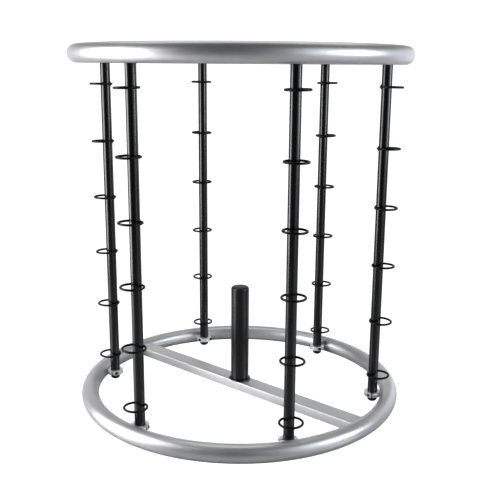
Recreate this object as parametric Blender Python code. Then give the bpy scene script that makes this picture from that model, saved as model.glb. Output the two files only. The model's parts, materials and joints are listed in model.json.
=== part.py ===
"""Rotating display rack: two tube hoops joined by six clamped posts, turning on a hub over a cross bar.

Units are metres, +Z is up, and the origin is on the turning axis in the plane the lower hoop rests on.
The cross bar lies along X. Posts stand at 30 degrees and every 60 degrees from there.
"""
import math

import bmesh
import bpy
from mathutils import Matrix, Vector

# Clearances
fit_gap = 0.0003            # between pieces that touch, fit or turn in each other
merge_distance = 0.000001

# Hoops
rack_height = 0.793
hoop_radius = 0.348         # to the centre line of the tube
hoop_tube_diameter = 0.0381
hoop_wall = 0.002
vent_diameter = 0.006
hoop_segments = 36
hoop_sides = 12
hoop_bore_sides = 6

# Posts and the wire loops welded to them
post_count = 6
first_post_angle = math.radians(30)
post_diameter = 0.0222
post_wall = 0.002
post_sides = 16
loop_count = 6
lowest_loop_height = 0.065
highest_loop_drop = 0.083   # below the rack's top
loop_diameter = 0.047       # to the centre line of the wire
loop_wire = 0.0048
loop_segments = 12
loop_sides = 5
weld_bite = 0.0006          # how far a weld sinks a piece into its neighbour
bead_height = 0.011
bead_width = 0.005
bead_depth = 0.0044

# Domed plugs in the feet of the posts
foot_clearance = 0.001
cap_dome_height = 0.008
cap_stem_length = 0.012
cap_sides = 10

# Two-piece clamps: the outer half is welded to the hoop, the inner half is held by two screws
clamp_wall = 0.00795        # from the post to the outside of the clamp
clamp_width = 0.0095
clamp_split = 0.002
clamp_end_distance = 0.020  # from the rack's end to the middle of the clamp
saddle_bite = 0.0017        # how far the outer half sinks into the hoop's wall
clamp_segments = 8
screw_diameter = 0.004
screw_length = 0.0125
screw_seat = 0.0065         # from the post's axis to the underside of the head
screw_head_diameter = 0.007
screw_head_height = 0.004
screw_socket_width = 0.003
screw_socket_depth = 0.002
screw_sides = 8
thread_depth = 0.0075       # of the tapped holes, from the post's axis

# Cross bar
bar_width = 0.041
bar_height = 0.021
bar_wall = 0.002
bar_edge_radius = 0.0015
bar_clearance = 0.007       # under the bar

# Hub
sleeve_diameter = 0.0413
sleeve_wall = 0.003
sleeve_length = 0.217
hub_sides = 16
flange_rim = 0.00435        # beyond the sleeve
flange_thickness = 0.0045
cap_height = 0.0095         # of the hub's cap above the sleeve
cap_round = 0.0055
cap_plug_length = 0.015
upper_bush_length = 0.022
upper_bush_drop = 0.024     # below the spindle's top
lower_bush_length = 0.022

# Spindle
spindle_diameter = 0.016
spindle_end_height = 0.0015
spindle_chamfer = 0.0008
thread_hole_diameter = 0.0068
thread_hole_depth = 0.016
ball_diameter = 0.010
ball_cup_depth = 0.003
washer_rim = 0.004          # beyond the spindle
washer_thickness = 0.0015
clip_rim = 0.002            # beyond the spindle
clip_thickness = 0.0012
clip_groove_depth = 0.001
clip_gap_angle = math.radians(80)

# Worked out from the sizes above
hoop_tube_radius = hoop_tube_diameter / 2
post_radius = post_diameter / 2
clamp_radius = post_radius + clamp_wall
screw_offset = (post_radius + clamp_radius) / 2  # sideways from the post's axis
sleeve_radius = sleeve_diameter / 2
sleeve_bore_radius = sleeve_radius - sleeve_wall
spindle_radius = spindle_diameter / 2
post_circle_radius = hoop_radius - hoop_tube_radius + saddle_bite - clamp_radius
post_foot = foot_clearance + cap_dome_height + fit_gap
post_head = rack_height - post_foot
loop_pitch = (rack_height - lowest_loop_height - highest_loop_drop) / (loop_count - 1)
loop_offset = loop_diameter / 2 - loop_wire / 2 - post_radius + weld_bite
bar_top = bar_clearance + bar_height
sleeve_bottom = bar_top + fit_gap
sleeve_top = sleeve_bottom + sleeve_length
plug_bottom = sleeve_top + fit_gap - cap_plug_length
ball_height = plug_bottom - fit_gap - ball_diameter / 2
spindle_top = ball_height - ball_diameter / 2 - fit_gap + ball_cup_depth
washer_top = bar_clearance - fit_gap
clip_top = washer_top - washer_thickness - fit_gap


def start_empty():
    for item in list(bpy.data.objects):
        bpy.data.objects.remove(item, do_unlink=True)


def finish(name, colour, metallic, roughness):
    """A Principled material."""
    material = bpy.data.materials.new(name)
    material.use_nodes = True
    shader = material.node_tree.nodes["Principled BSDF"]
    shader.inputs["Base Color"].default_value = (*colour, 1.0)
    shader.inputs["Metallic"].default_value = metallic
    shader.inputs["Roughness"].default_value = roughness
    material.diffuse_color = (*colour, 1.0)
    return material


def outer_flats(radius, sides):
    """Corner radius of a polygon whose flats lie on a circle of this radius."""
    return radius / math.cos(math.pi / sides)


def to_mesh(bm, name):
    bmesh.ops.remove_doubles(bm, verts=bm.verts, dist=merge_distance)
    bmesh.ops.recalc_face_normals(bm, faces=bm.faces)
    mesh = bpy.data.meshes.new(name)
    bm.to_mesh(mesh)
    bm.free()
    return mesh


def turned(name, profile, sides, closed=False):
    """Spin (radius, height) points about Z. A closed profile makes a ring, an open one ends on the axis."""
    bm = bmesh.new()
    points = [bm.verts.new((radius, 0.0, height)) for radius, height in profile]
    pairs = list(zip(points, points[1:]))
    if closed:
        pairs.append((points[-1], points[0]))
    edges = [bm.edges.new(pair) for pair in pairs]
    bmesh.ops.spin(bm, geom=points + edges, cent=(0, 0, 0), axis=(0, 0, 1), angle=math.tau,
                   steps=sides, use_merge=True)
    return to_mesh(bm, name)


def torus(name, radius, tube_corner_radius, segments, sides):
    """A round-section ring about Z whose section has a flat at its lowest point when sides is even."""
    profile = []
    for index in range(sides):
        angle = math.tau * (index + 0.5) / sides
        profile.append((radius + tube_corner_radius * math.cos(angle), tube_corner_radius * math.sin(angle)))
    return turned(name, profile, segments, closed=True)


def tube(name, outer_radius, inner_radius, bottom, top, sides):
    profile = [(inner_radius, bottom), (outer_radius, bottom), (outer_radius, top), (inner_radius, top)]
    return turned(name, profile, sides, closed=True)


def prism(name, outline, bottom, top):
    """A flat outline of (x, y) points raised from bottom to top."""
    bm = bmesh.new()
    face = bm.faces.new([bm.verts.new((x, y, bottom)) for x, y in outline])
    raised = bmesh.ops.extrude_face_region(bm, geom=[face])
    corners = [item for item in raised["geom"] if isinstance(item, bmesh.types.BMVert)]
    bmesh.ops.translate(bm, verts=corners, vec=(0, 0, top - bottom))
    return to_mesh(bm, name)


def arc(radius, start, end, segments):
    """Points from one angle to another, both ends included."""
    angles = [start + (end - start) * index / segments for index in range(segments + 1)]
    return [(radius * math.cos(angle), radius * math.sin(angle)) for angle in angles]


def rounded_rectangle(width, height, radius, segments=3):
    """Corner-rounded outline centred on the origin."""
    points = []
    for quarter, (side_x, side_y) in enumerate(((1, 1), (-1, 1), (-1, -1), (1, -1))):
        centre_x = side_x * (width / 2 - radius)
        centre_y = side_y * (height / 2 - radius)
        start = quarter * math.pi / 2
        for x, y in arc(radius, start, start + math.pi / 2, segments):
            points.append((centre_x + x, centre_y + y))
    return points


def copies(name, mesh, places):
    """One mesh holding a copy of another at each place."""
    bm = bmesh.new()
    for place in places:
        piece = mesh.copy()
        piece.transform(place)
        bm.from_mesh(piece)
    return to_mesh(bm, name)


def combined(name, base, steps):
    """Join or cut a mesh with others, in order, and return the result."""
    body = bpy.data.objects.new(name, base)
    bpy.context.collection.objects.link(body)
    tools = []
    for operation, mesh in steps:
        tool = bpy.data.objects.new(name + "_tool", mesh)
        tool.hide_render = True
        tool.display_type = "WIRE"
        bpy.context.collection.objects.link(tool)
        tools.append(tool)
        modifier = body.modifiers.new(operation.lower(), "BOOLEAN")
        modifier.operation = operation
        modifier.solver = "EXACT"
        modifier.object = tool
    evaluated = body.evaluated_get(bpy.context.evaluated_depsgraph_get())
    result = bpy.data.meshes.new_from_object(evaluated)
    for item in tools + [body]:
        bpy.data.objects.remove(item, do_unlink=True)
    bm = bmesh.new()
    bm.from_mesh(result)
    bmesh.ops.dissolve_degenerate(bm, edges=bm.edges, dist=merge_distance)
    return to_mesh(bm, name)


def add_part(name, mesh, material, location=(0, 0, 0), rotation=(0, 0, 0), parent=None):
    """A named object, shaded smooth except at its edges."""
    if not mesh.materials:
        mesh.materials.append(material)
        mesh.shade_smooth()
        mesh.set_sharp_from_angle(angle=math.radians(35))
    item = bpy.data.objects.new(name, mesh)
    item.location = location
    item.rotation_euler = rotation
    item.parent = parent
    bpy.context.collection.objects.link(item)
    return item


def add_axis(name, location=(0, 0, 0), angle=0.0, parent=None):
    """An empty on a joint's axis."""
    axis = bpy.data.objects.new(name, None)
    axis.location = location
    axis.rotation_euler = (0, 0, angle)
    axis.empty_display_size = 0.05
    axis.parent = parent
    bpy.context.collection.objects.link(axis)
    return axis


def post_angle(index):
    return first_post_angle + math.tau * index / post_count


def post_places(height):
    """The clamp positions round the rack, with local +X pointing outwards."""
    places = []
    for index in range(post_count):
        turn = Matrix.Rotation(post_angle(index), 4, "Z")
        places.append(turn @ Matrix.Translation((post_circle_radius, 0, height)))
    return places


def along_x(mesh):
    """Turn a mesh made about Z so that its top points along +X."""
    mesh.transform(Matrix.Rotation(math.pi / 2, 4, "Y"))
    return mesh


def half_clamp(name, side):
    """Half of the split ring round a post; side is +1 for the outer half and -1 for the inner one."""
    bore = outer_flats(post_radius + fit_gap, 2 * clamp_segments)
    outer_limit = math.acos(clamp_split / 2 / clamp_radius)
    bore_limit = math.acos(clamp_split / 2 / bore)
    outline = arc(clamp_radius, -outer_limit, outer_limit, clamp_segments)
    outline += arc(bore, bore_limit, -bore_limit, clamp_segments)
    mesh = prism(name, [(side * x, y) for x, y in outline], -clamp_width / 2, clamp_width / 2)
    return mesh


def tapped_holes():
    """Cutters for the two screw holes of an outer half."""
    radius = outer_flats(screw_diameter / 2 + fit_gap, screw_sides)
    profile = [(0, 0), (radius, 0), (radius, thread_depth), (0, thread_depth)]
    drill = along_x(turned("tapped_hole", profile, screw_sides))
    sides = [Matrix.Translation((0, side * screw_offset, 0)) for side in (-1, 1)]
    return copies("tapped_holes", drill, sides)


def stepped_holes():
    """Cutters for the two counterbored screw holes of an inner half."""
    shank = outer_flats(screw_diameter / 2 + fit_gap, screw_sides)
    head = outer_flats(screw_head_diameter / 2 + fit_gap, screw_sides)
    profile = [(0, 0), (shank, 0), (shank, screw_seat), (head, screw_seat),
               (head, clamp_radius), (0, clamp_radius)]
    drill = along_x(turned("stepped_hole", profile, screw_sides))
    drill.transform(Matrix.Rotation(math.pi, 4, "Z"))
    sides = [Matrix.Translation((0, side * screw_offset, 0)) for side in (-1, 1)]
    return copies("stepped_holes", drill, sides)


def hoop(name, tube_height, clamp_height, vents):
    """A hollow tube ring with the outer clamp halves welded inside it."""
    body = torus(name, hoop_radius, outer_flats(hoop_tube_radius, hoop_sides), hoop_segments, hoop_sides)
    cavity = torus(name + "_cavity", hoop_radius, hoop_tube_radius - hoop_wall, hoop_segments, hoop_bore_sides)
    for mesh in (body, cavity):
        mesh.transform(Matrix.Translation((0, 0, tube_height)))
    places = post_places(clamp_height)
    saddles = copies(name + "_saddles", half_clamp("saddle", 1), places)
    threads = copies(name + "_threads", tapped_holes(), places)
    steps = [("UNION", saddles), ("DIFFERENCE", cavity), ("DIFFERENCE", threads), ("DIFFERENCE", vents)]
    return combined(name, body, steps)


def vent_drill(length):
    radius = vent_diameter / 2
    return turned("vent", [(0, 0), (radius, 0), (radius, length), (0, length)], screw_sides)


def bar_end_vents():
    """Holes from the lower hoop into the ends of the cross bar."""
    drill = along_x(vent_drill(hoop_tube_radius))
    start = hoop_radius - hoop_tube_radius - hoop_wall
    height = bar_top - bar_height / 2
    places = []
    for turn in (0, math.pi):
        places.append(Matrix.Rotation(turn, 4, "Z") @ Matrix.Translation((start, 0, height)))
    return copies("bar_end_vents", drill, places)


def drain_vent():
    """A drain hole in the underside of the upper hoop."""
    place = Matrix.Translation((hoop_radius, 0, rack_height - hoop_tube_diameter - hoop_wall))
    return copies("drain_vent", vent_drill(hoop_tube_radius), [place])


def add_hoops(paint, carousel):
    lower = hoop("bottom_ring", hoop_tube_radius, clamp_end_distance, bar_end_vents())
    upper = hoop("top_ring", rack_height - hoop_tube_radius, rack_height - clamp_end_distance, drain_vent())
    add_part("bottom_ring", lower, paint, parent=carousel)
    add_part("top_ring", upper, paint, parent=carousel)


def loop_places():
    return [Matrix.Translation((loop_offset, 0, lowest_loop_height + loop_pitch * index))
            for index in range(loop_count)]


def weld_bead():
    """A lozenge of weld metal between the wire and the post's inner side."""
    bead = turned("weld_bead", [(0, -bead_height / 2), (bead_width / 2, 0), (0, bead_height / 2)], 4)
    bead.transform(Matrix.Diagonal((bead_depth / bead_width, 1.0, 1.0, 1.0)))
    bead.transform(Matrix.Translation((-post_radius - weld_bite - loop_offset, 0, 0)))
    return bead


def post_mesh():
    """A tube with its wire loops welded on, its origin on its own axis at floor height."""
    body = tube("post", post_radius, post_radius - post_wall, post_foot, post_head, post_sides)
    wire = torus("loop", loop_diameter / 2, loop_wire / 2, loop_segments, loop_sides)
    flat_to_post = Matrix.Rotation(math.pi / loop_segments, 4, "Z")
    wire.transform(flat_to_post)
    loops = copies("loops", wire, loop_places())
    beads = copies("beads", weld_bead(), loop_places())
    return combined("post", body, [("UNION", loops), ("UNION", beads)])


def foot_cap_mesh():
    """A domed plug: the head covers the tube's end and the stem sits in its bore."""
    stem = post_radius - post_wall - fit_gap
    seat = foot_clearance + cap_dome_height
    steps = 4
    profile = []
    for index in range(steps + 1):
        angle = math.pi / 2 * index / steps
        profile.append((post_radius * math.sin(angle), seat - cap_dome_height * math.cos(angle)))
    profile += [(stem, seat), (stem, seat + cap_stem_length), (0, seat + cap_stem_length)]
    return turned("foot_cap", profile, cap_sides)


def add_posts(black, plastic, carousel):
    """Each post and its plug turn about the post's own axis when the clamps are slackened."""
    post = post_mesh()
    cap = foot_cap_mesh()
    for index in range(post_count):
        angle = post_angle(index)
        place = Vector((post_circle_radius * math.cos(angle), post_circle_radius * math.sin(angle), 0))
        axis = add_axis(f"post_{index + 1}_axis", place, angle, carousel)
        add_part(f"post_{index + 1}", post, black, parent=axis)
        add_part(f"foot_cap_{index + 1}", cap, plastic, parent=axis)


def clamp_screw_mesh():
    """A socket head screw about Z: the shank runs down from the seat at the origin, the head stands above it."""
    shank = screw_diameter / 2
    head = screw_head_diameter / 2
    profile = [(0, -screw_length), (shank, -screw_length), (shank, 0), (head, 0),
               (head, screw_head_height), (0, screw_head_height)]
    body = turned("clamp_screw", profile, screw_sides)
    corner = outer_flats(screw_socket_width / 2, 6)
    outline = arc(corner, 0, math.tau * 5 / 6, 5)
    socket = prism("socket", outline, screw_head_height - screw_socket_depth, screw_head_height + fit_gap)
    return combined("clamp_screw", body, [("DIFFERENCE", socket)])


def add_clamps(paint, screw_finish, carousel):
    """The loose inner halves and their screws, at the foot and the head of each post."""
    inner = combined("clamp", half_clamp("clamp", -1), [("DIFFERENCE", stepped_holes())])
    screw = clamp_screw_mesh()
    ends = (("foot", clamp_end_distance), ("head", rack_height - clamp_end_distance))
    for index in range(post_count):
        angle = post_angle(index)
        for end, height in ends:
            place = Matrix.Rotation(angle, 4, "Z") @ Matrix.Translation((post_circle_radius, 0, height))
            add_part(f"{end}_clamp_{index + 1}", inner, paint, place.translation, (0, 0, angle), carousel)
            for letter, side in (("a", -1), ("b", 1)):
                seat = place @ Vector((-screw_seat, side * screw_offset, 0))
                name = f"{end}_screw_{index + 1}{letter}"
                add_part(name, screw, screw_finish, seat, (0, -math.pi / 2, angle), carousel)


def cross_bar_mesh():
    """A rectangular tube, its ends coped to the lower hoop, with holes for the spindle."""
    reach = hoop_radius
    outer = rounded_rectangle(bar_height, bar_width, bar_edge_radius)
    inner = rounded_rectangle(bar_height - 2 * bar_wall, bar_width - 2 * bar_wall, bar_wall / 4, 1)
    body = along_x(prism("cross_bar", outer, -reach, reach))
    hollow = along_x(prism("bar_hollow", inner, -reach - bar_wall, reach + bar_wall))
    for mesh in (body, hollow):
        mesh.transform(Matrix.Translation((0, 0, bar_top - bar_height / 2)))
    cope_radius = outer_flats(hoop_tube_radius + fit_gap, hoop_sides)
    cope = torus("bar_cope", hoop_radius, cope_radius, hoop_segments, hoop_sides)
    cope.transform(Matrix.Translation((0, 0, hoop_tube_radius)))
    hole_radius = outer_flats(spindle_radius + fit_gap, hub_sides)
    hole_profile = [(0, 0), (hole_radius, 0), (hole_radius, 2 * bar_top), (0, 2 * bar_top)]
    spindle_hole = turned("spindle_hole", hole_profile, hub_sides)
    trim = outside_hoop_trim()
    steps = [("DIFFERENCE", hollow), ("DIFFERENCE", trim), ("DIFFERENCE", cope), ("DIFFERENCE", spindle_hole)]
    return combined("cross_bar", body, steps)


def outside_hoop_trim():
    """A ring that takes away whatever reaches past the lower hoop's centre line."""
    inner = hoop_radius - hoop_tube_radius / 2
    outer = hoop_radius + hoop_tube_diameter
    return tube("outside_trim", outer, inner, -hoop_tube_diameter, 2 * hoop_tube_diameter, hoop_segments)


def hub_cap_mesh():
    """A rounded cap with a flat top and a plug that fills the sleeve's upper end."""
    seat = sleeve_top + fit_gap
    top = seat + cap_height
    plug = sleeve_bore_radius - fit_gap
    profile = [(0, plug_bottom), (plug, plug_bottom), (plug, seat), (sleeve_radius, seat)]
    corner_z = top - cap_round
    steps = 4
    for index in range(steps + 1):
        angle = math.pi / 2 * index / steps
        radius = sleeve_radius - cap_round + cap_round * math.cos(angle)
        profile.append((radius, corner_z + cap_round * math.sin(angle)))
    profile.append((0, top))
    return turned("hub_cap", profile, hub_sides)


def hub_flange_mesh():
    """The rounded collar of weld that seats the sleeve on the bar."""
    bore = outer_flats(sleeve_radius + fit_gap, hub_sides)
    outer = sleeve_radius + flange_rim
    bottom = bar_top + fit_gap
    top = bottom + flange_thickness
    profile = [(bore, bottom), (outer - flange_thickness / 4, bottom), (outer, bottom + flange_thickness / 4),
               (outer, bottom + flange_thickness / 2), (bore + flange_thickness / 3, top), (bore, top)]
    return turned("hub_flange", profile, hub_sides, closed=True)


def bush_mesh(name, bottom, length):
    """A plain bush between the sleeve and the spindle."""
    bore = outer_flats(spindle_radius + fit_gap, hub_sides)
    return tube(name, sleeve_bore_radius - fit_gap, bore, bottom, bottom + length, hub_sides)


def spindle_mesh():
    """The fixed spindle: a tapped lower end, a groove for the clip and a cup for the thrust ball."""
    hole = thread_hole_diameter / 2
    groove = spindle_radius - clip_groove_depth
    cup = ball_diameter / 2 + fit_gap
    groove_top = clip_top + fit_gap
    groove_bottom = clip_top - clip_thickness - fit_gap
    profile = [(0, spindle_end_height + thread_hole_depth), (hole, spindle_end_height + thread_hole_depth),
               (hole, spindle_end_height), (spindle_radius - spindle_chamfer, spindle_end_height),
               (spindle_radius, spindle_end_height + spindle_chamfer),
               (spindle_radius, groove_bottom), (groove, groove_bottom), (groove, groove_top),
               (spindle_radius, groove_top), (spindle_radius, spindle_top - spindle_chamfer),
               (spindle_radius - spindle_chamfer, spindle_top), (cup, spindle_top),
               (cup, spindle_top - ball_cup_depth), (0, spindle_top - ball_cup_depth)]
    return turned("spindle", profile, hub_sides)


def ball_mesh():
    bm = bmesh.new()
    bmesh.ops.create_icosphere(bm, subdivisions=2, radius=ball_diameter / 2)
    bmesh.ops.translate(bm, verts=bm.verts, vec=(0, 0, ball_height))
    return to_mesh(bm, "thrust_ball")


def clip_mesh():
    """An open spring clip that sits in the spindle's groove."""
    bore = outer_flats(spindle_radius - clip_groove_depth + fit_gap, hub_sides)
    start = clip_gap_angle / 2
    end = math.tau - start
    outline = arc(spindle_radius + clip_rim, start, end, hub_sides) + arc(bore, end, start, hub_sides)
    return prism("retaining_clip", outline, clip_top - clip_thickness, clip_top)


def washer_mesh():
    bore = outer_flats(spindle_radius + fit_gap, hub_sides)
    outer = spindle_radius + washer_rim
    return tube("wear_washer", outer, bore, washer_top - washer_thickness, washer_top, hub_sides)


def add_hub(black, paint, steel, bronze, carousel):
    """The bar, the sleeve and its bushes turn with the hoops; the spindle stands still."""
    sleeve = tube("hub_sleeve", sleeve_radius, sleeve_bore_radius, sleeve_bottom, sleeve_top, hub_sides)
    upper_bottom = spindle_top - upper_bush_drop - upper_bush_length
    lower_bottom = sleeve_bottom + fit_gap
    add_part("cross_bar", cross_bar_mesh(), paint, parent=carousel)
    add_part("hub_sleeve", sleeve, black, parent=carousel)
    add_part("hub_flange", hub_flange_mesh(), black, parent=carousel)
    add_part("hub_cap", hub_cap_mesh(), black, parent=carousel)
    add_part("upper_bush", bush_mesh("upper_bush", upper_bottom, upper_bush_length), bronze, parent=carousel)
    add_part("lower_bush", bush_mesh("lower_bush", lower_bottom, lower_bush_length), bronze, parent=carousel)
    add_part("spindle", spindle_mesh(), steel)
    add_part("thrust_ball", ball_mesh(), steel)
    add_part("wear_washer", washer_mesh(), bronze)
    add_part("retaining_clip", clip_mesh(), steel)


def build():
    start_empty()
    paint = finish("silver_paint", (0.62, 0.62, 0.64), 0.75, 0.35)
    black = finish("black_powder_coat", (0.018, 0.018, 0.02), 0.0, 0.4)
    plastic = finish("black_plastic", (0.015, 0.015, 0.015), 0.0, 0.5)
    screw_finish = finish("black_oxide_steel", (0.04, 0.04, 0.045), 0.9, 0.4)
    steel = finish("bright_steel", (0.55, 0.55, 0.56), 1.0, 0.25)
    bronze = finish("sintered_bronze", (0.45, 0.31, 0.16), 1.0, 0.45)
    carousel = add_axis("carousel_axis")
    add_hoops(paint, carousel)
    add_posts(black, plastic, carousel)
    add_clamps(paint, screw_finish, carousel)
    add_hub(black, paint, steel, bronze, carousel)


build()
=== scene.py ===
import json
import math

import bmesh
import bpy
import numpy as np
from mathutils import Matrix, Vector


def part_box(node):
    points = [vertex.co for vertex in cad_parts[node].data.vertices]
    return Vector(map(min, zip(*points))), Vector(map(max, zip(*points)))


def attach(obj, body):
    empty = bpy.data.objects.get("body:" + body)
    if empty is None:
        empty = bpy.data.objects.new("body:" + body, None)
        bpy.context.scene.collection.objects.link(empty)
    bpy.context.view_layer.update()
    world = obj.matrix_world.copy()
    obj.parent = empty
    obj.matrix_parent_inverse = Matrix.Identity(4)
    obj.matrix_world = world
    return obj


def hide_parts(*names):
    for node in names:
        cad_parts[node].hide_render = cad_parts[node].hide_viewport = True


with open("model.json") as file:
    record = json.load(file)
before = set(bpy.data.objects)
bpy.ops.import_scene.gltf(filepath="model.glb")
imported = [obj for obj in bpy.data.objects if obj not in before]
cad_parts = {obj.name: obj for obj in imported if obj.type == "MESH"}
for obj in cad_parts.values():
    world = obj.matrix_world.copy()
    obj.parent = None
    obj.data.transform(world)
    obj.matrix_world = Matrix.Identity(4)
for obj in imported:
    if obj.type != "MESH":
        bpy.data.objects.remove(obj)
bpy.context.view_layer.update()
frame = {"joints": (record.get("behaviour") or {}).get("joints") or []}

turn = 2 * math.pi
mergeDistance = 0.000002

# what the pieces share, read from the frame where it holds it
ringLow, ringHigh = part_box("bottom_ring")
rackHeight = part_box("top_ring")[1].z
rack = {
    "height": rackHeight,
    "hoopRadius": ringHigh.x - (ringHigh.z - ringLow.z) / 2,
    "hoopTube": (ringHigh.z - ringLow.z) / 2,
    "posts": 6,
    "firstPost": math.radians(30),
    "postRadius": 0.0111,
    "gap": 0.0003,
}
postJoint = [joint for joint in frame["joints"] if joint["name"] == "post_1_turn"][0]
rack["postCircle"] = math.hypot(postJoint["pos_m"][0], postJoint["pos_m"][1])
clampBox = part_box("foot_clamp_2")
rack["clampRadius"] = (clampBox[1].x - clampBox[0].x) / 2
rack["clampHeight"] = clampBox[1].z - clampBox[0].z
rack["clampMiddle"] = (clampBox[1].z + clampBox[0].z) / 2


def postPlace(index, height=0.0):
    # post position with local +X pointing out of the rack
    spin = Matrix.Rotation(rack["firstPost"] + turn * index / rack["posts"], 4, "Z")
    return spin @ Matrix.Translation((rack["postCircle"], 0, height))


# meshes
def newPiece(name, bm, place=None, smoothAngle=40):
    # object at the origin with its place in the mesh; edges sharper than smoothAngle stay sharp
    bmesh.ops.remove_doubles(bm, verts=bm.verts, dist=mergeDistance)
    bmesh.ops.recalc_face_normals(bm, faces=bm.faces)
    if place is not None:
        bm.transform(place)
    mesh = bpy.data.meshes.new(name)
    bm.to_mesh(mesh)
    bm.free()
    mesh.shade_smooth()
    mesh.set_sharp_from_angle(angle=math.radians(smoothAngle))
    piece = bpy.data.objects.new(name, mesh)
    bpy.context.scene.collection.objects.link(piece)
    return piece


def meshBody(points, faces):
    # bmesh of an (n, 3) array of points and a list of faces that count into it
    mesh = bpy.data.meshes.new("body")
    mesh.from_pydata(points.tolist(), [], faces)
    bm = bmesh.new()
    bm.from_mesh(mesh)
    bpy.data.meshes.remove(mesh)
    return bm


def gridBody(points, wrapAlong=False):
    # quads between neighbours of an (along, around, 3) grid whose rows are closed round
    rows, columns = points.shape[:2]
    index = np.arange(rows * columns).reshape(rows, columns)
    nextRow = np.roll(index, -1, axis=0)
    if not wrapAlong:
        index, nextRow = index[:-1], nextRow[:-1]
    quads = np.stack([index, np.roll(index, -1, axis=1), np.roll(nextRow, -1, axis=1), nextRow], axis=-1)
    return meshBody(points.reshape(-1, 3), quads.reshape(-1, 4).tolist())


def joined(bodies):
    # several bmesh bodies in one
    whole = bmesh.new()
    for body in bodies:
        mesh = bpy.data.meshes.new("part")
        body.to_mesh(mesh)
        body.free()
        whole.from_mesh(mesh)
        bpy.data.meshes.remove(mesh)
    return whole


def placed(bm, place):
    # the same body moved by a matrix
    bm.transform(place)
    return bm


def turnedBody(profile, sides=64, wobble=None, closed=False):
    # (radius, height) points carried round Z; wobble(angle, row) adds to the radius
    profile = np.array(profile, float)
    angle = np.arange(sides) * turn / sides
    radius = profile[:, :1] * np.ones(sides)
    height = profile[:, 1:] * np.ones(sides)
    if wobble is not None:
        radius = radius + wobble(angle[None, :], np.arange(len(profile))[:, None])
    points = np.stack([radius * np.cos(angle), radius * np.sin(angle), height], axis=-1)
    return gridBody(points, closed)


def ringBody(radius, tube, around, sides):
    # torus: a circle of radius tube carried round a circle of radius radius
    alongAngle = np.arange(around)[:, None] * turn / around
    crossAngle = np.arange(sides)[None, :] * turn / sides
    reach = radius + tube * np.cos(crossAngle)
    height = tube * np.sin(crossAngle) + 0 * alongAngle
    points = np.stack([reach * np.cos(alongAngle), reach * np.sin(alongAngle), height], axis=-1)
    return gridBody(points, True)


def roundedCorner(centre, radius, start, end, steps=5):
    # arc points in the radius-height plane, angles in degrees
    angles = np.radians(np.linspace(start, end, steps + 1))
    return [(centre[0] + radius * math.cos(a), centre[1] + radius * math.sin(a)) for a in angles]


def pathBody(path, radius, sides=12, ripple=0.0, ripples=1):
    # round bead carried along a closed path of (n, 3) points; the bead swells and shrinks along it
    ahead = np.roll(path, -1, axis=0) - np.roll(path, 1, axis=0)
    ahead /= np.linalg.norm(ahead, axis=1, keepdims=True)
    middle = path.mean(axis=0)
    outward = path - middle
    outward -= (outward * ahead).sum(axis=1, keepdims=True) * ahead
    outward /= np.linalg.norm(outward, axis=1, keepdims=True)
    sideways = np.cross(ahead, outward)
    angle = np.arange(sides)[None, :, None] * turn / sides
    step = np.linspace(0, turn * ripples, len(path), endpoint=False)[:, None, None]
    thick = radius * (1 + ripple * np.abs(np.sin(step / 2)) - ripple / 2)
    points = path[:, None] + thick * (np.cos(angle) * outward[:, None] + np.sin(angle) * sideways[:, None])
    return gridBody(points, True)


def slabBody(outline, low, high):
    # flat (n, 2) outline at height low and again at high: one quad per side and a face at each end
    outline = np.array(outline)
    count = len(outline)
    here = np.arange(count)
    after = np.roll(here, -1)
    lower = np.column_stack([outline, np.full(count, low)])
    upper = np.column_stack([outline, np.full(count, high)])
    walls = np.stack([here, after, after + count, here + count], axis=-1).tolist()
    return meshBody(np.vstack([lower, upper]), walls + [here[::-1].tolist(), (here + count).tolist()])


def roundedBox(width, height, radius, steps=6):
    # corner-rounded rectangle as an (n, 2) outline
    centres = [(1, 1), (-1, 1), (-1, -1), (1, -1)]
    points = []
    for quarter, (signX, signY) in enumerate(centres):
        centre = (signX * (width / 2 - radius), signY * (height / 2 - radius))
        points += roundedCorner(centre, radius, 90 * quarter, 90 * quarter + 90, steps)
    return np.array(points)


def cutBody(body, cutters, bevel):
    # body less its cutters, with every edge sharper than 40 degrees bevelled
    base = newPiece("blank", body)
    tool = newPiece("drill", joined(cutters))
    cut = base.modifiers.new("cut", "BOOLEAN")
    cut.operation = "DIFFERENCE"
    cut.object = tool
    edge = base.modifiers.new("edge", "BEVEL")
    edge.width = bevel
    edge.segments = 2
    edge.limit_method = "ANGLE"
    edge.angle_limit = math.radians(40)
    result = bmesh.new()
    evaluated = base.evaluated_get(bpy.context.evaluated_depsgraph_get())
    result.from_mesh(evaluated.to_mesh())
    evaluated.to_mesh_clear()
    for item in (base, tool):
        bpy.data.objects.remove(item)
    return result


# shading
class Link:
    # wraps an output socket, so that 1 - mask * 0.5 adds its own Math nodes
    def __init__(self, finish, socket):
        self.finish = finish
        self.socket = socket

    def math(self, operation, first, second=0.0):
        return self.finish.node("ShaderNodeMath", {"operation": operation}, {0: first, 1: second})

    def __add__(self, other):
        return self.math("ADD", self, other)

    def __radd__(self, other):
        return self.math("ADD", other, self)

    def __sub__(self, other):
        return self.math("SUBTRACT", self, other)

    def __rsub__(self, other):
        return self.math("SUBTRACT", other, self)

    def __mul__(self, other):
        return self.math("MULTIPLY", self, other)

    def __rmul__(self, other):
        return self.math("MULTIPLY", other, self)

    def clamped(self):
        return self.finish.node("ShaderNodeClamp", {}, {"Value": self})


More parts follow.
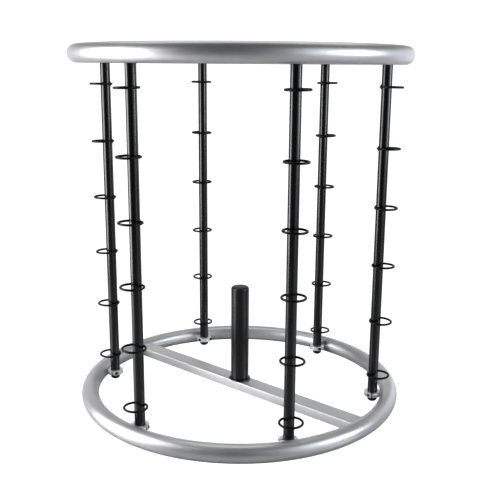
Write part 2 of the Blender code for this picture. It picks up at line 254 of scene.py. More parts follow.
class Finish:
    # one material: Principled shader plus the nodes that vary it
    def __init__(self, name, metallic, coat=0.0, coatRoughness=0.2):
        self.material = bpy.data.materials.new(name)
        self.material.use_nodes = True
        self.tree = self.material.node_tree
        self.shader = self.tree.nodes["Principled BSDF"]
        self.shader.inputs["Metallic"].default_value = metallic
        self.shader.inputs["Coat Weight"].default_value = coat
        self.shader.inputs["Coat Roughness"].default_value = coatRoughness

    def node(self, kind, settings, sockets, output=0):
        # any node: its settings first, then a value or a link for each socket
        item = self.tree.nodes.new(kind)
        for key, value in settings.items():
            setattr(item, key, value)
        for key, value in sockets.items():
            if isinstance(value, Link):
                self.tree.links.new(value.socket, item.inputs[key])
            else:
                item.inputs[key].default_value = value
        return Link(self, item.outputs[output])

    def place(self, scale=(1, 1, 1)):
        # where the shaded point lies on the object, stretched by scale
        here = self.node("ShaderNodeTexCoord", {}, {}, "Object")
        return self.node("ShaderNodeMapping", {}, {"Vector": here, "Scale": scale})

    def height(self):
        return self.node("ShaderNodeSeparateXYZ", {}, {"Vector": self.place()}, "Z")

    def noise(self, scale, detail=2.0, stretch=(1, 1, 1)):
        settings = {"noise_dimensions": "3D"}
        sockets = {"Vector": self.place(stretch), "Scale": scale, "Detail": detail}
        return self.node("ShaderNodeTexNoise", settings, sockets, 0)

    def attribute(self, name):
        return self.node("ShaderNodeAttribute", {"attribute_name": name}, {}, "Fac")

    def blend(self, amount, low, high):
        # colour between two fixed ones
        sockets = {"Factor": amount, 6: (*low, 1), 7: (*high, 1)}
        return self.node("ShaderNodeMix", {"data_type": "RGBA"}, sockets, 2)

    def blendOver(self, amount, under, over):
        # a fixed colour laid over one that already varies
        sockets = {"Factor": amount, 6: under, 7: (*over, 1)}
        return self.node("ShaderNodeMix", {"data_type": "RGBA"}, sockets, 2)

    def feed(self, name, link):
        self.tree.links.new(link.socket, self.shader.inputs[name])

    def bump(self, height, strength, distance):
        sockets = {"Height": height, "Strength": strength, "Distance": distance}
        self.feed("Normal", self.node("ShaderNodeBump", {}, sockets))


# painted shadow where the lower hoop meets the floor: the paint darkens towards the bottom, broken by noise, and
# roughens a little
contactShadow = {"height": 0.0068, "fade": 300, "amount": 1.6, "roughen": 0.25, "colour": (0.08, 0.08, 0.08)}


def silverPaint(name, dark, light, roughness, paintedFloorShadow=False, grain=(1, 1, 1)):
    # metallic paint: fine bright flakes in a slightly cloudy grey, with a faint orange peel
    finish = Finish(name, 0.86, 0.12, 0.25)
    clouds = finish.noise(14, 3, grain)
    flakes = finish.noise(2600, 1)
    tone = (clouds * 0.6 + flakes * 0.4).clamped()
    colour = finish.blend(tone, dark, light)
    rough = roughness + (clouds - 0.5) * 0.10 + (flakes - 0.5) * 0.08
    # painted shadow: darker paint within a few mm of the floor, broken up by noise, standing in for the shade
    # where the hoop meets it
    if paintedFloorShadow:
        contact = ((contactShadow["height"] - finish.height()) * contactShadow["fade"]).clamped()
        paintedShadow = (contact * finish.noise(90, 4) * contactShadow["amount"]).clamped()
        colour = finish.blendOver(paintedShadow, colour, contactShadow["colour"])
        rough = rough + paintedShadow * contactShadow["roughen"]
    finish.feed("Base Color", colour)
    finish.feed("Roughness", rough)
    finish.bump(finish.noise(420, 2) * 0.7 + flakes * 0.3, 0.12, 0.0003)
    return finish.material


def blackCoat(name, shade, roughness, peel, gloss, clear, rub=0.0):
    # powder coat: near black with a low pebble; rub brings up a little bare grey on the high spots
    finish = Finish(name, 0.0, clear, 0.18)
    finish.shader.inputs["Specular IOR Level"].default_value = gloss
    clouds = finish.noise(22, 3)
    pebble = finish.noise(peel, 2)
    colour = finish.blend(clouds, (shade * 0.7,) * 3, (shade * 1.3, shade * 1.3, shade * 1.45))
    rough = roughness + (clouds - 0.5) * 0.10 + (pebble - 0.5) * 0.03
    if rub > 0:
        worn = ((finish.noise(130, 4) - 0.62) * 7).clamped() * rub
        colour = finish.blendOver(worn, colour, (0.09, 0.09, 0.095))
        rough = rough - worn * 0.1
    finish.feed("Base Color", colour)
    finish.feed("Roughness", rough)
    finish.bump(pebble, 0.025, 0.0003)
    return finish.material


def mouldedPlastic(name):
    # black moulded plastic with a fine matte grain
    finish = Finish(name, 0.0)
    grain = finish.noise(1500, 2)
    patches = finish.noise(60, 2)
    finish.feed("Base Color", finish.blend(patches, (0.005, 0.005, 0.005), (0.012, 0.012, 0.0125)))
    finish.feed("Roughness", 0.40 + (grain - 0.5) * 0.2 + (patches - 0.5) * 0.1)
    finish.bump(grain, 0.2, 0.0002)
    return finish.material


def machinedSilver(name):
    # silver painted clamp: the lathe's rings still show through on the flat faces
    finish = Finish(name, 0.5, 0.1, 0.25)
    rings = finish.attribute("latheRadius")
    sockets = {"W": rings, "Scale": 2600.0, "Detail": 2.0}
    marks = finish.node("ShaderNodeTexNoise", {"noise_dimensions": "1D"}, sockets)
    clouds = finish.noise(60, 3)
    tone = (marks * 0.45 + clouds * 0.55).clamped()
    finish.feed("Base Color", finish.blend(tone, (0.74, 0.74, 0.75), (0.95, 0.95, 0.95)))
    finish.feed("Roughness", 0.30 + (marks - 0.5) * 0.18 + (clouds - 0.5) * 0.12)
    finish.bump(marks, 0.25, 0.0002)
    return finish.material


def bareMetal(name, dark, light, roughness, turned):
    # bare metal with marks round the turning axis where it was turned
    finish = Finish(name, 1.0)
    stretch = (0.05, 0.05, 1) if turned else (1, 1, 1)
    marks = finish.noise(1800, 2, stretch)
    patches = finish.noise(45, 3)
    finish.feed("Base Color", finish.blend((marks * 0.5 + patches * 0.5).clamped(), dark, light))
    finish.feed("Roughness", roughness + (marks - 0.5) * 0.2 + (patches - 0.5) * 0.1)
    finish.bump(marks, 0.2, 0.0001)
    return finish.material


materials = {
    "hoop": silverPaint("hoopPaint", dark=(0.53, 0.53, 0.54), light=(0.73, 0.73, 0.74), roughness=0.45),
    # lower hoop: the hoop paint a touch lighter, tuned to how brightly the lower hoop is lit, with painted shadow
    # near the floor
    "hoopLow": silverPaint("lowerHoopPaint", dark=(0.53, 0.53, 0.54), light=(0.74, 0.74, 0.75), roughness=0.45,
                           paintedFloorShadow=True),
    "bar": silverPaint("barPaint", dark=(0.59, 0.59, 0.595), light=(0.79, 0.79, 0.795), roughness=0.54,
                       grain=(0.2, 3, 3)),
    "clamp": machinedSilver("clampSilver"),
    "post": blackCoat("postCoat", shade=0.001, roughness=0.23, peel=420, gloss=0.6, clear=0.25),
    "loop": blackCoat("loopCoat", shade=0.001, roughness=0.42, peel=700, gloss=0.3, clear=0.05, rub=0.05),
    "hub": blackCoat("hubCoat", shade=0.0006, roughness=0.31, peel=520, gloss=0.6, clear=0.22),
    "cap": mouldedPlastic("capPlastic"),
    "screw": bareMetal("blackOxide", dark=(0.018, 0.018, 0.02), light=(0.06, 0.06, 0.065), roughness=0.38,
                       turned=False),
    "steel": bareMetal("groundSteel", dark=(0.42, 0.42, 0.43), light=(0.66, 0.66, 0.67), roughness=0.26,
                       turned=True),
    "bronze": bareMetal("sinteredBronze", dark=(0.33, 0.22, 0.11), light=(0.55, 0.39, 0.20), roughness=0.45,
                        turned=False),
}
print("finishes ready")


def finished(piece, material, body, slot, *nodes):
    # give a piece its material and body, and say which nodes it stands for; slot is not used
    piece.data.materials.append(materials[material])
    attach(piece, body)
    if nodes:
        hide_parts(*nodes)
    return piece


# hoops with their welded clamp halves
clamp = {
    "bore": rack["postRadius"] + rack["gap"],
    "split": 0.002,
    "screwOffset": (rack["postRadius"] + rack["clampRadius"]) / 2,
    "screwSeat": 0.0065,
    "screwHole": 0.0023,
    "headHole": 0.0038,
    "threadDepth": 0.0075,
    "edge": 0.0005,
    "arcSteps": 48,
    "boreSteps": 32,
    "drillSides": 28,
    "drillStart": -0.001,
    "drillTip": 0.0015,
    "drillEnd": 0.03,
    "smoothAngle": 30,
    "weld": 0.0014,
    "weldWidth": 0.0164,
    "weldSpare": 0.0004,
    "weldCorner": 0.0022,
    "weldSink": 0.0004,
    "weldSides": 10,
    "weldRipple": 0.25,
    "weldRipples": 22,
}
hoop = {"around": 288, "sides": 48}


def halfClampBody(side):
    # half ring between two arcs, cut short of the middle by half the split, and drilled for its two screws:
    # tapped blind in the welded half (side 1), through with a seat for the head in the loose one (side -1)
    outerLimit = math.degrees(math.acos(clamp["split"] / 2 / rack["clampRadius"]))
    boreLimit = math.degrees(math.acos(clamp["split"] / 2 / clamp["bore"]))
    outline = roundedCorner((0, 0), rack["clampRadius"], -outerLimit, outerLimit, clamp["arcSteps"])
    outline += roundedCorner((0, 0), clamp["bore"], boreLimit, -boreLimit, clamp["boreSteps"])
    half = rack["clampHeight"] / 2
    body = slabBody([(side * x, y) for x, y in outline], -half, half)
    hole, start = clamp["screwHole"], clamp["drillStart"]
    if side > 0:
        tip = clamp["threadDepth"] + clamp["drillTip"]
        profile = [(0, start), (hole, start), (hole, clamp["threadDepth"]), (0, tip)]
    else:
        profile = [(0, start), (hole, start), (hole, clamp["screwSeat"]), (clamp["headHole"], clamp["screwSeat"]),
                   (clamp["headHole"], clamp["drillEnd"]), (0, clamp["drillEnd"])]
    cutters = []
    for sideways in (-1, 1):
        lay = Matrix.Translation((0, sideways * clamp["screwOffset"], 0))
        lay = lay @ Matrix.Rotation(side * math.pi / 2, 4, "Y")
        cutters.append(placed(turnedBody(profile, clamp["drillSides"]), lay))
    bmesh.ops.recalc_face_normals(body, faces=body.faces)
    return cutBody(body, cutters, clamp["edge"])


def addLatheRadius(piece, centres):
    # distance of each vertex from the nearest clamp axis, for the lathe rings
    points = np.empty(len(piece.data.vertices) * 3)
    piece.data.vertices.foreach_get("co", points)
    points = points.reshape(-1, 3)
    away = np.min([np.hypot(points[:, 0] - x, points[:, 1] - y) for x, y in centres], axis=0)
    attribute = piece.data.attributes.new("latheRadius", "FLOAT", "POINT")
    attribute.data.foreach_set("value", away.astype(np.float32))


def hoopSurfaceX(sideways, height):
    # distance out to the hoop's inner surface: hoop radius less its round section at that height, then
    # the leg of a right triangle whose other leg is the sideways place
    reach = rack["hoopRadius"] - np.sqrt(rack["hoopTube"] ** 2 - height ** 2)
    return np.sqrt(reach ** 2 - sideways ** 2)


def clampWeldBody(offset):
    # bead round the patch where the welded half meets the hoop; offset is the clamp's height off the hoop's centre
    # known fault: np.repeat gives each point of far three times, and pathBody divides by zero on the middle one,
    # so these beads have broken faces; shares of 0, 1/3 and 2/3 towards the next point should mend it (untried)
    outline = roundedBox(clamp["weldWidth"], rack["clampHeight"] + clamp["weldSpare"], clamp["weldCorner"], 8)
    thrice = np.repeat(outline, 3, axis=0)
    far = thrice * 2 / 3 + np.roll(thrice, -3, axis=0) / 3
    sideways, up = far[:, 0], far[:, 1]
    out = hoopSurfaceX(sideways, up + offset) - rack["postCircle"]
    path = np.stack([out - clamp["weldSink"], sideways, up], axis=-1)
    return pathBody(path, clamp["weld"], clamp["weldSides"], clamp["weldRipple"], clamp["weldRipples"])


saddleBody = halfClampBody(1)
saddleMesh = bpy.data.meshes.new("saddle")
saddleBody.to_mesh(saddleMesh)
saddleBody.free()
centres = [tuple(postPlace(index).translation[:2]) for index in range(rack["posts"])]
hoops = [
    ("bottomHoop", "bottom_ring", "hoopLow", rack["hoopTube"], rack["clampMiddle"]),
    ("topHoop", "top_ring", "hoop", rack["height"] - rack["hoopTube"], rack["height"] - rack["clampMiddle"]),
]
for name, node, material, middle, clampHeight in hoops:
    tubeBody = ringBody(rack["hoopRadius"], rack["hoopTube"], hoop["around"], hoop["sides"])
    tube = newPiece(name, tubeBody, Matrix.Translation((0, 0, middle)))
    finished(tube, material, "carousel", "ring_paint", node)
    saddles, welds = [], []
    for index in range(rack["posts"]):
        place = postPlace(index, clampHeight)
        copy = bmesh.new()
        copy.from_mesh(saddleMesh)
        saddles.append(placed(copy, place))
        welds.append(placed(clampWeldBody(clampHeight - middle), place))
    saddlePiece = newPiece(name + "ClampHalves", joined(saddles), None, clamp["smoothAngle"])
    addLatheRadius(saddlePiece, centres)
    finished(saddlePiece, "clamp", "carousel", "clamp_silver", node)
    finished(newPiece(name + "Welds", joined(welds)), material, "carousel", "ring_paint", node)
print("hoops ready")

# loose clamp halves and screws
screw = {
    "radius": 0.002,
    "length": 0.0125,
    "tipRadius": 0.0015,
    "headRadius": 0.0035,
    "headHeight": 0.004,
    "chamfer": 0.0006,
    "socket": 0.0015,
    "socketDepth": 0.002,
    "sides": 48,
}


def screwBody():
    # socket head screw about Z: rows are circles except the socket's, which are hexagons
    angle = np.arange(screw["sides"]) * turn / screw["sides"]
    hexagon = 1 / np.cos((angle + math.pi / 6) % (math.pi / 3) - math.pi / 6)
    shank, length, chamfer = screw["radius"], screw["length"], screw["chamfer"]
    head, top, socket = screw["headRadius"], screw["headHeight"], screw["socket"]
    floor = top - screw["socketDepth"]
    rounds = [(0, -length), (screw["tipRadius"], -length), (shank, chamfer - length), (shank, 0), (head, 0),
              (head, top - chamfer), (head - chamfer, top), (socket * 1.35, top)]
    hexes = [(socket * 1.02, top), (socket, top - 0.0002), (socket, floor), (0, floor - chamfer)]
    rows = [(radius * np.ones(screw["sides"]), height) for radius, height in rounds]
    rows += [(radius * hexagon, height) for radius, height in hexes]
    points = [np.stack([r * np.cos(angle), r * np.sin(angle), z + 0 * angle], axis=-1) for r, z in rows]
    return gridBody(np.array(points))


innerBody = halfClampBody(-1)
innerMesh = bpy.data.meshes.new("innerClamp")
innerBody.to_mesh(innerMesh)
innerBody.free()
for index in range(rack["posts"]):
    for end, height in (("foot", rack["clampMiddle"]), ("head", rack["height"] - rack["clampMiddle"])):
        place = postPlace(index, height)
        copy = bmesh.new()
        copy.from_mesh(innerMesh)
        piece = newPiece(f"{end}Clamp{index + 1}", copy, place, clamp["smoothAngle"])
        addLatheRadius(piece, centres)
        finished(piece, "clamp", "carousel", "clamp_silver", f"{end}_clamp_{index + 1}")
        pair = []
        for sideways in (-1, 1):
            lay = Matrix.Translation((-clamp["screwSeat"], sideways * clamp["screwOffset"], 0))
            pair.append(placed(screwBody(), place @ lay @ Matrix.Rotation(-math.pi / 2, 4, "Y")))
        nodes = [f"{end}_screw_{index + 1}{letter}" for letter in "ab"]
        screws = newPiece(f"{end}Screws{index + 1}", joined(pair))
        finished(screws, "screw", "carousel", "screw_black", *nodes)
bpy.data.meshes.remove(saddleMesh)
bpy.data.meshes.remove(innerMesh)
print("clamps ready")

# posts, loops and caps
post = {
    "wall": 0.002,
    "foot": 0.0093,
    "loops": 6,
    "lowest": 0.065,
    "highestDrop": 0.083,
    "loopRadius": 0.0235,
    "wire": 0.0024,
    "bite": 0.0006,
    "beadHalfHeight": 0.0056,
    "beadHalfWidth": 0.0026,
    "beadThickness": 0.0024,
    "capFloor": 0.001,
    "capStem": 0.012,
    "capRib": 0.0006,
    "ribDepth": 0.0004,
    "ribs": 4,
    "tilt": 1.3,
    "heightError": 0.0008,
    "seed": 7,
    "sides": 64,
    "rings": 40,
    "wireAround": 72,
    "wireSides": 16,
}
loopShift = post["loopRadius"] - post["wire"] - rack["postRadius"] + post["bite"]
spread = np.random.RandomState(post["seed"])


def postTubeBody():
    # thick-walled tube: down the outside, up the bore
    outer = rack["postRadius"]
    inner = outer - post["wall"]
    low, high = post["foot"], rack["height"] - post["foot"]
    heights = np.linspace(low, high, post["rings"])
    profile = [(outer, z) for z in heights] + [(inner, z) for z in heights[::-1]]
    return turnedBody(profile, post["sides"], None, True)


def beadBody():
    # lozenge of weld: width follows 1 - |z|^1.6, with a few ripples up it
    along = np.linspace(-1, 1, 25)[:, None]
    around = (np.arange(20) * turn / 20)[None, :]
    full = np.clip(1 - np.abs(along) ** 1.6, 0, 1) * (1 + 0.08 * np.sin(along * 17))
    x = -rack["postRadius"] - post["bite"] - loopShift + post["beadThickness"] * full * np.cos(around)
    y = post["beadHalfWidth"] * full * np.sin(around)
    z = post["beadHalfHeight"] * along + 0 * around
    return gridBody(np.stack([x, y, z], axis=-1))


def capBody(flip):
    # domed head over the tube's end and a ribbed stem in its bore; flip puts it on the upper end
    radius = rack["postRadius"]
    stem = radius - post["wall"] - rack["gap"]
    root = stem - post["ribDepth"]
    seat = post["foot"] - rack["gap"]
    edge = post["capRib"]
    dome = seat - post["capFloor"] - edge
    angles = np.linspace(0, math.pi / 2, 14)
    profile = [(radius * math.sin(a), seat - edge - dome * math.cos(a)) for a in angles]
    profile += [(radius, seat), (root, seat)]
    for rib in range(post["ribs"]):
        base = seat + post["capStem"] * (rib + 0.5) / (post["ribs"] + 0.5)
        profile += [(root, base), (stem, base + edge), (root, base + 2 * edge)]
    profile += [(stem - 0.001, seat + post["capStem"]), (0, seat + post["capStem"])]
    if flip:
        profile = [(r, rack["height"] - z) for r, z in profile]
    return turnedBody(profile, post["sides"])


pitch = (rack["height"] - post["lowest"] - post["highestDrop"]) / (post["loops"] - 1)
for index in range(rack["posts"]):
    number = index + 1
    body = f"post_{number}"
    place = postPlace(index)
    finished(newPiece(f"post{number}Tube", postTubeBody(), place), "post", body, "post_black", f"post_{number}")
    wires = []
    for level in range(post["loops"]):
        lean = np.radians(spread.uniform(-post["tilt"], post["tilt"], 2))
        height = post["lowest"] + pitch * level + spread.uniform(-post["heightError"], post["heightError"])
        sway = Matrix.Rotation(lean[0], 4, "Y") @ Matrix.Rotation(lean[1], 4, "X")
        pivot = Matrix.Translation((-post["loopRadius"], 0, 0))
        lay = Matrix.Translation((loopShift, 0, height)) @ pivot @ sway @ pivot.inverted()
        wire = ringBody(post["loopRadius"], post["wire"], post["wireAround"], post["wireSides"])
        wires.append(placed(wire, lay))
        wires.append(placed(beadBody(), Matrix.Translation((loopShift, 0, height))))
    finished(newPiece(f"post{number}Loops", joined(wires), place), "loop", body, "post_black", f"post_{number}")
    finished(newPiece(f"footCap{number}", capBody(False), place), "cap", body, "cap_plastic", f"foot_cap_{number}")
    finished(newPiece(f"headCap{number}", capBody(True), place), "cap", body, "cap_plastic")
print("posts ready")

# cross bar
barLow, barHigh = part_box("cross_bar")
bar = {
    "width": barHigh.y - barLow.y,
    "height": barHigh.z - barLow.z,
    "middle": (barHigh.z + barLow.z) / 2,
    "corner": 0.0022,
    "sunk": 0.0008,
    "rings": 61,
    "weld": 0.0016,
    "weldSpare": 0.0006,
    "weldSink": 0.0006,
    "weldSteps": 6,
    "weldRipple": 0.3,
    "weldRipples": 40,
}


def crossBarBody():
    # rounded rectangle carried along X; each end stops on the hoop's inner surface
    section = roundedBox(bar["width"], bar["height"], bar["corner"], 6)
    sideways, up = section[:, 0], section[:, 1]
    reach = hoopSurfaceX(sideways, up + bar["middle"] - rack["hoopTube"]) + bar["sunk"]
    share = np.linspace(-1, 1, bar["rings"])[:, None]
    along = share * reach[None, :]
    points = np.stack([along, sideways + 0 * share, up + bar["middle"] + 0 * share], axis=-1)
    first, last = [np.repeat(end.mean(axis=1, keepdims=True), points.shape[1], axis=1)
                   for end in (points[:1], points[-1:])]
    return gridBody(np.concatenate([first, points, last]))


def barWeldBody(side):
    # fillet bead round the bar's end: its outline in finer steps, laid on the hoop's inner surface
    spare, steps = bar["weldSpare"], bar["weldSteps"]
    section = roundedBox(bar["width"] + spare, bar["height"] + spare, bar["corner"], 6)
    ahead = np.roll(section, -1, axis=0) - section
    section = np.concatenate([section + ahead * k / steps for k in range(steps)], axis=1).reshape(-1, 2)
    sideways, up = section[:, 0], section[:, 1] + bar["middle"]
    out = hoopSurfaceX(sideways, up - rack["hoopTube"]) - bar["weldSink"]
    return pathBody(np.stack([side * out, sideways, up], axis=-1), bar["weld"], 10, bar["weldRipple"],
                    bar["weldRipples"])


finished(newPiece("crossBar", crossBarBody(), None, 50), "bar", "carousel", "bar_paint", "cross_bar")
barWelds = newPiece("crossBarWelds", joined([barWeldBody(1), barWeldBody(-1)]))
finished(barWelds, "bar", "carousel", "bar_paint", "cross_bar")
print("bar ready")

# hub
sleeveLow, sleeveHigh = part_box("hub_sleeve")
hub = {
    "radius": sleeveHigh.x,
    "bore": sleeveHigh.x - 0.003,  # a 3 mm wall
    "low": sleeveLow.z,
    "high": sleeveHigh.z,
    "capTop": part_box("hub_cap")[1].z,
    "plugLow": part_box("hub_cap")[0].z,
    "capRound": 0.0058,
    "disc": 0.0135,
    "discStep": 0.0006,
    "plugChamfer": 0.001,
    "flange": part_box("hub_flange")[1].x,
    "flangeTop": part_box("hub_flange")[1].z,
    "flangeSunk": 0.0005,
    "sides": 96,
    "flangeSides": 160,
}


def weldLumps(angle, row):
    # uneven bead: 5, 11 and 23 waves round it, strongest in the middle row and none at the sleeve
    lumps = 0.00045 * np.sin(5 * angle + 0.6) + 0.0004 * np.sin(11 * angle + row)
    lumps = lumps + 0.0003 * np.sin(23 * angle + 2 * row)
    return lumps * np.clip((8 - np.abs(row - 5)) / 8, 0, 1) * (row > 0) * (row < 12)


sleeveProfile = [(hub["radius"], z) for z in np.linspace(hub["low"], hub["high"], 24)]
sleeveProfile += [(hub["bore"], hub["high"]), (hub["bore"], hub["low"])]
sleeve = newPiece("hubSleeve", turnedBody(sleeveProfile, hub["sides"], None, True))
finished(sleeve, "hub", "carousel", "hub_black", "hub_sleeve")

seat = hub["high"] + rack["gap"]
plug = hub["bore"] - rack["gap"]
top, disc, rim = hub["capTop"], hub["disc"], hub["capRound"]
capProfile = [(0, hub["plugLow"]), (plug - 0.0005, hub["plugLow"]), (plug, hub["plugLow"] + hub["plugChamfer"]),
              (plug, seat), (hub["radius"], seat)]
capProfile += roundedCorner((hub["radius"] - rim, top - rim), rim, 0, 78, 10)
capProfile += [(disc + hub["discStep"], top - 0.0001), (disc, top - hub["discStep"]),
               (disc - 0.0008, top - 0.0004), (0, top - 0.0002)]
finished(newPiece("hubCap", turnedBody(capProfile, hub["sides"])), "cap", "carousel", "hub_black", "hub_cap")

flangeSpan = hub["flange"] - hub["radius"]
flangeRise = hub["flangeTop"] - hub["low"]
flangeInside = hub["radius"] - hub["flangeSunk"]
flangeProfile = [(flangeInside, hub["low"])]
for angle in np.radians(np.linspace(-60, 90, 11)):
    flangeProfile.append((hub["radius"] + flangeSpan * (0.62 + 0.38 * math.cos(angle)),
                          hub["low"] + flangeRise * (0.36 + 0.36 * math.sin(angle)) + 0.0002))
flangeProfile.append((flangeInside, hub["flangeTop"]))
flangeBody = turnedBody(flangeProfile, hub["flangeSides"], weldLumps, True)
finished(newPiece("hubFlange", flangeBody, None, 70), "hub", "carousel", "hub_black", "hub_flange")

# pieces inside and under the hub
spindleLow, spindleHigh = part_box("spindle")
ballLow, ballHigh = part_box("thrust_ball")
clipLow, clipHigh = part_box("retaining_clip")
shaft = spindleHigh.x
ballRadius = (ballHigh.z - ballLow.z) / 2
ballMiddle = (ballHigh.z + ballLow.z) / 2
clipMiddle = (clipLow.z + clipHigh.z) / 2
spindle = {
    "chamfer": 0.0008,
    "hole": 0.0034,
    "holeDepth": 0.016,
    "threads": 18,
    "threadStart": 0.0008,
    "threadStep": 0.0007,
    "threadDepth": 0.0003,
    "groove": 0.001,
    "cupDepth": 0.003,
    "sides": 96,
    "ballSides": 48,
}
foot, tip = spindleLow.z, spindleHigh.z
hole, chamfer, groove = spindle["hole"], spindle["chamfer"], shaft - spindle["groove"]
holeTop = foot + spindle["holeDepth"]
cup, cupFloor = ballRadius + rack["gap"], tip - spindle["cupDepth"]
grooveHalf = (clipHigh.z - clipLow.z) / 2 + rack["gap"]
grooveLow, grooveHigh = clipMiddle - grooveHalf, clipMiddle + grooveHalf
threadLow = foot + spindle["threadStart"]
threads = [(hole + spindle["threadDepth"] * (step % 2), threadLow + spindle["threadStep"] * step)
           for step in range(spindle["threads"])]
# from the top of the tapped hole, down its threads, up the outside with the clip's groove, into the ball's cup
spindleProfile = [(0, holeTop), (hole * 0.9, holeTop - 0.001)] + threads[::-1]
spindleProfile += [(hole + 0.0006, foot), (shaft - chamfer, foot), (shaft, foot + chamfer), (shaft, grooveLow),
                   (groove, grooveLow), (groove, grooveHigh), (shaft, grooveHigh), (shaft, tip - chamfer),
                   (shaft - chamfer, tip), (cup, tip), (cup, (tip + cupFloor) / 2), (0, cupFloor)]
spindleShaft = newPiece("spindleShaft", turnedBody(spindleProfile, spindle["sides"]))
finished(spindleShaft, "steel", "spindle", "bright_steel", "spindle")

ballAngles = np.linspace(-math.pi / 2, math.pi / 2, 33)
ballProfile = [(ballRadius * math.cos(a), ballMiddle + ballRadius * math.sin(a)) for a in ballAngles]
ballProfile[0] = (0, ballProfile[0][1])
ballProfile[-1] = (0, ballProfile[-1][1])
thrustBall = newPiece("thrustBall", turnedBody(ballProfile, spindle["ballSides"]))
finished(thrustBall, "steel", "spindle", "bright_steel", "thrust_ball")


def sleeveRing(name, node, material, body, slot, bore, chamfer):
    # plain turned ring with chamfered edges, sized from its solid's box
    low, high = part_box(node)
    inner, outer, below, above = bore + chamfer, high.x - chamfer, low.z + chamfer, high.z - chamfer
    profile = [(inner, low.z), (outer, low.z), (high.x, below), (high.x, above),
               (outer, high.z), (inner, high.z), (bore, above), (bore, below)]
    ring = newPiece(name, turnedBody(profile, spindle["sides"], None, True))
    finished(ring, material, body, slot, node)


ringBore = shaft + rack["gap"]
sleeveRing("upperBush", "upper_bush", "bronze", "carousel", "bronze", ringBore, 0.0006)
sleeveRing("lowerBush", "lower_bush", "bronze", "carousel", "bronze", ringBore, 0.0006)
sleeveRing("wearWasher", "wear_washer", "bronze", "spindle", "bronze", ringBore, 0.0002)

clip = {"gap": 80, "outer": 0.010, "bore": groove + rack["gap"], "steps": 60}
clipStart, clipEnd = clip["gap"] / 2, 360 - clip["gap"] / 2
clipOutline = roundedCorner((0, 0), clip["outer"], clipStart, clipEnd, clip["steps"])
clipOutline += roundedCorner((0, 0), clip["bore"], clipEnd, clipStart, clip["steps"])
retainingClip = newPiece("retainingClip", slabBody(clipOutline, clipLow.z, clipHigh.z))
finished(retainingClip, "steel", "spindle", "bright_steel", "retaining_clip")
print("hub ready")

# floor, light and camera
stage = {
    "white": 1.0,
    "ambient": 0.08,
    "floorHalf": 40.0,
    "floorDrop": 0.0004,
    "floorShade": 0.60,
    "floorRoughness": 0.14,
    "floorGlow": 0.04,
}


def floorPaint():
    # pale glossy board: it mirrors the lights into the rack, and looks plain white itself
    finish = Finish("floorWhite", 0.0)
    finish.shader.inputs["Base Color"].default_value = (stage["floorShade"],) * 3 + (1,)
    finish.shader.inputs["Roughness"].default_value = stage["floorRoughness"]
    finish.shader.inputs["Specular IOR Level"].default_value = 1.0
    finish.shader.inputs["Emission Color"].default_value = (1, 1, 1, 1)
    finish.shader.inputs["Emission Strength"].default_value = stage["floorGlow"]
    seen = finish.node("ShaderNodeLightPath", {}, {}, "Is Camera Ray")
    white = finish.node("ShaderNodeEmission", {}, {"Color": (1, 1, 1, 1), "Strength": stage["white"]})
    paper = Link(finish, finish.shader.outputs["BSDF"])
    surface = finish.node("ShaderNodeMixShader", {}, {0: seen, 1: paper, 2: white})
    finish.tree.links.new(surface.socket, finish.tree.nodes["Material Output"].inputs["Surface"])
    return finish.material


corners = np.array([(-1, -1, 0), (1, -1, 0), (1, 1, 0), (-1, 1, 0)]) * stage["floorHalf"]
corners[:, 2] -= stage["floorDrop"]
floor = newPiece("floor", meshBody(corners, [(0, 1, 2, 3)]))
floor.data.materials.append(floorPaint())

camera = {
    "azimuth": -48.44,
    "distance": 1.703,
    "height": 0.752,
    "aimAzimuth": 131.09,
    "tilt": -13.29,
    "roll": 0.40,
    "lens": 56.02,
    "sensor": 36,
}


def addCamera():
    # stands on a circle round the rack and looks along its own azimuth and tilt, rolled a little
    data = bpy.data.cameras.new("camera")
    data.lens = camera["lens"]
    data.sensor_width = camera["sensor"]
    item = bpy.data.objects.new("camera", data)
    bpy.context.scene.collection.objects.link(item)
    away, aim, tilt = (math.radians(camera[key]) for key in ("azimuth", "aimAzimuth", "tilt"))
    where = Vector((camera["distance"] * math.cos(away), camera["distance"] * math.sin(away), camera["height"]))
    look = Vector((math.cos(aim) * math.cos(tilt), math.sin(aim) * math.cos(tilt), math.sin(tilt)))
    facing = look.to_track_quat("-Z", "Y").to_matrix().to_4x4()
    item.matrix_world = Matrix.Translation(where) @ facing @ Matrix.Rotation(math.radians(camera["roll"]), 4, "Z")
    bpy.context.scene.camera = item


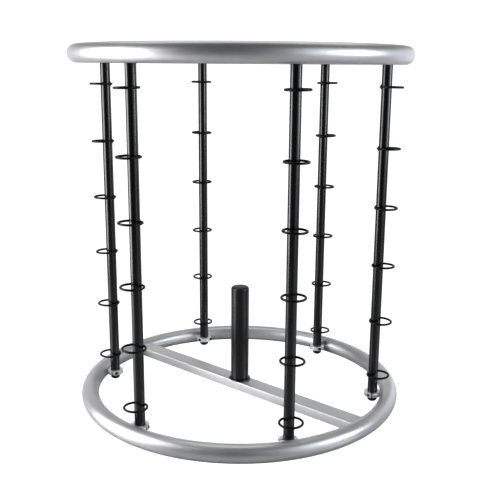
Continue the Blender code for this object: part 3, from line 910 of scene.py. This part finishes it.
def addSoftbox(name, side, distance, height, width, tall, glow, colour=(1, 1, 1), aimHeight=None):
    # soft box on a circle round the rack; side is degrees to the right of the camera, glow its brightness
    # and aimHeight the point of the rack's axis it faces, its own height if none is given
    data = bpy.data.lights.new(name, "AREA")
    data.shape = "RECTANGLE"
    data.size = width
    data.size_y = tall
    data.energy = glow * math.pi * width * tall
    data.color = colour
    item = bpy.data.objects.new(name, data)
    bpy.context.scene.collection.objects.link(item)
    angle = math.radians(camera["azimuth"] + side)
    where = Vector((distance * math.cos(angle), distance * math.sin(angle), height))
    look = (Vector((0, 0, height if aimHeight is None else aimHeight)) - where).normalized()
    item.visible_camera = False
    item.matrix_world = Matrix.Translation(where) @ look.to_track_quat("-Z", "Y").to_matrix().to_4x4()


def addWorld():
    # white where the camera looks past the rack, a dimmer white room for everything else
    world = bpy.data.worlds.new("studio")
    bpy.context.scene.world = world
    world.use_nodes = True
    tree = world.node_tree
    background = tree.nodes["Background"]
    path = tree.nodes.new("ShaderNodeLightPath")
    mix = tree.nodes.new("ShaderNodeMix")
    mix.data_type = "RGBA"
    mix.inputs[6].default_value = (stage["ambient"],) * 3 + (1,)
    mix.inputs[7].default_value = (stage["white"],) * 3 + (1,)
    tree.links.new(path.outputs["Is Camera Ray"], mix.inputs["Factor"])
    tree.links.new(mix.outputs[2], background.inputs["Color"])


softboxes = {
    "leftSoftbox": {"side": -75, "distance": 1.3, "height": 0.66, "width": 0.80, "tall": 1.25, "glow": 5.7},
    "rightSoftbox": {"side": 70, "distance": 1.9, "height": 0.92, "width": 0.70, "tall": 1.0, "glow": 6.2,
                     "colour": (0.90, 0.94, 1.0)},
    "rightWall": {"side": 50, "distance": 2.4, "height": 1.2, "width": 1.6, "tall": 2.4, "glow": 0.9,
                  "colour": (0.92, 0.95, 1.0)},
    "rightBackPanel": {"side": 125, "distance": 2.3, "height": 0.8, "width": 1.3, "tall": 1.6, "glow": 0.9,
                       "colour": (0.95, 0.97, 1.0)},
    "backPanel": {"side": 182, "distance": 2.6, "height": 0.9, "width": 5.0, "tall": 1.8, "glow": 0.66},
    "overheadPanel": {"side": 180, "distance": 0.5, "height": 1.8, "width": 1.8, "tall": 1.0, "glow": 1.2,
                      "aimHeight": 0.0},
}

addCamera()
for name, settings in softboxes.items():
    addSoftbox(name, **settings)
addWorld()
bpy.context.scene.view_settings.view_transform = "Standard"
bpy.context.scene.view_settings.look = "Medium High Contrast"
print("stage ready")
